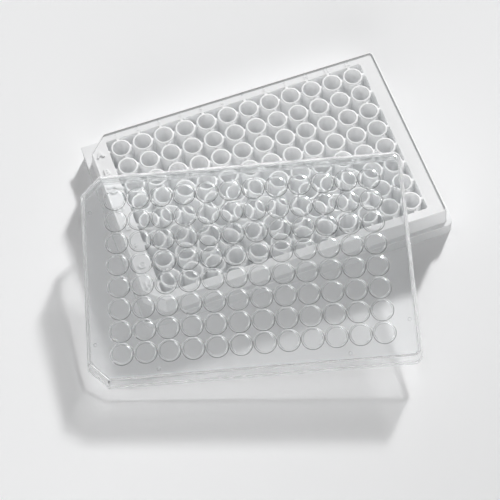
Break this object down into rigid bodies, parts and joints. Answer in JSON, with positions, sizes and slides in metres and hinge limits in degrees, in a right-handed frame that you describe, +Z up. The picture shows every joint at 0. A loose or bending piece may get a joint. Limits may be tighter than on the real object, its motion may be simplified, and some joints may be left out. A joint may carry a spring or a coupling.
{
  "type": "96-well plate with lid",
  "caption": "White chimney-well laboratory plate with a flanged base and cut corners, its clear lid taken off and leaning across one corner.",
  "frame": {"origin": "middle of the plate and its leaning lid together, at the height of the plate's foot", "axes": "+Z up; +X along the rows of the plate, from column 1 to column 12; +Y towards row A"},
  "size_m": [0.1544, 0.1374, 0.0271],
  "materials": {
    "white_polystyrene": "satin",
    "clear_polystyrene": "gloss"
  },
  "bodies": {
    "root": {"well_plate": "white_polystyrene", "lid": "clear_polystyrene"}
  },
  "joints": []
}
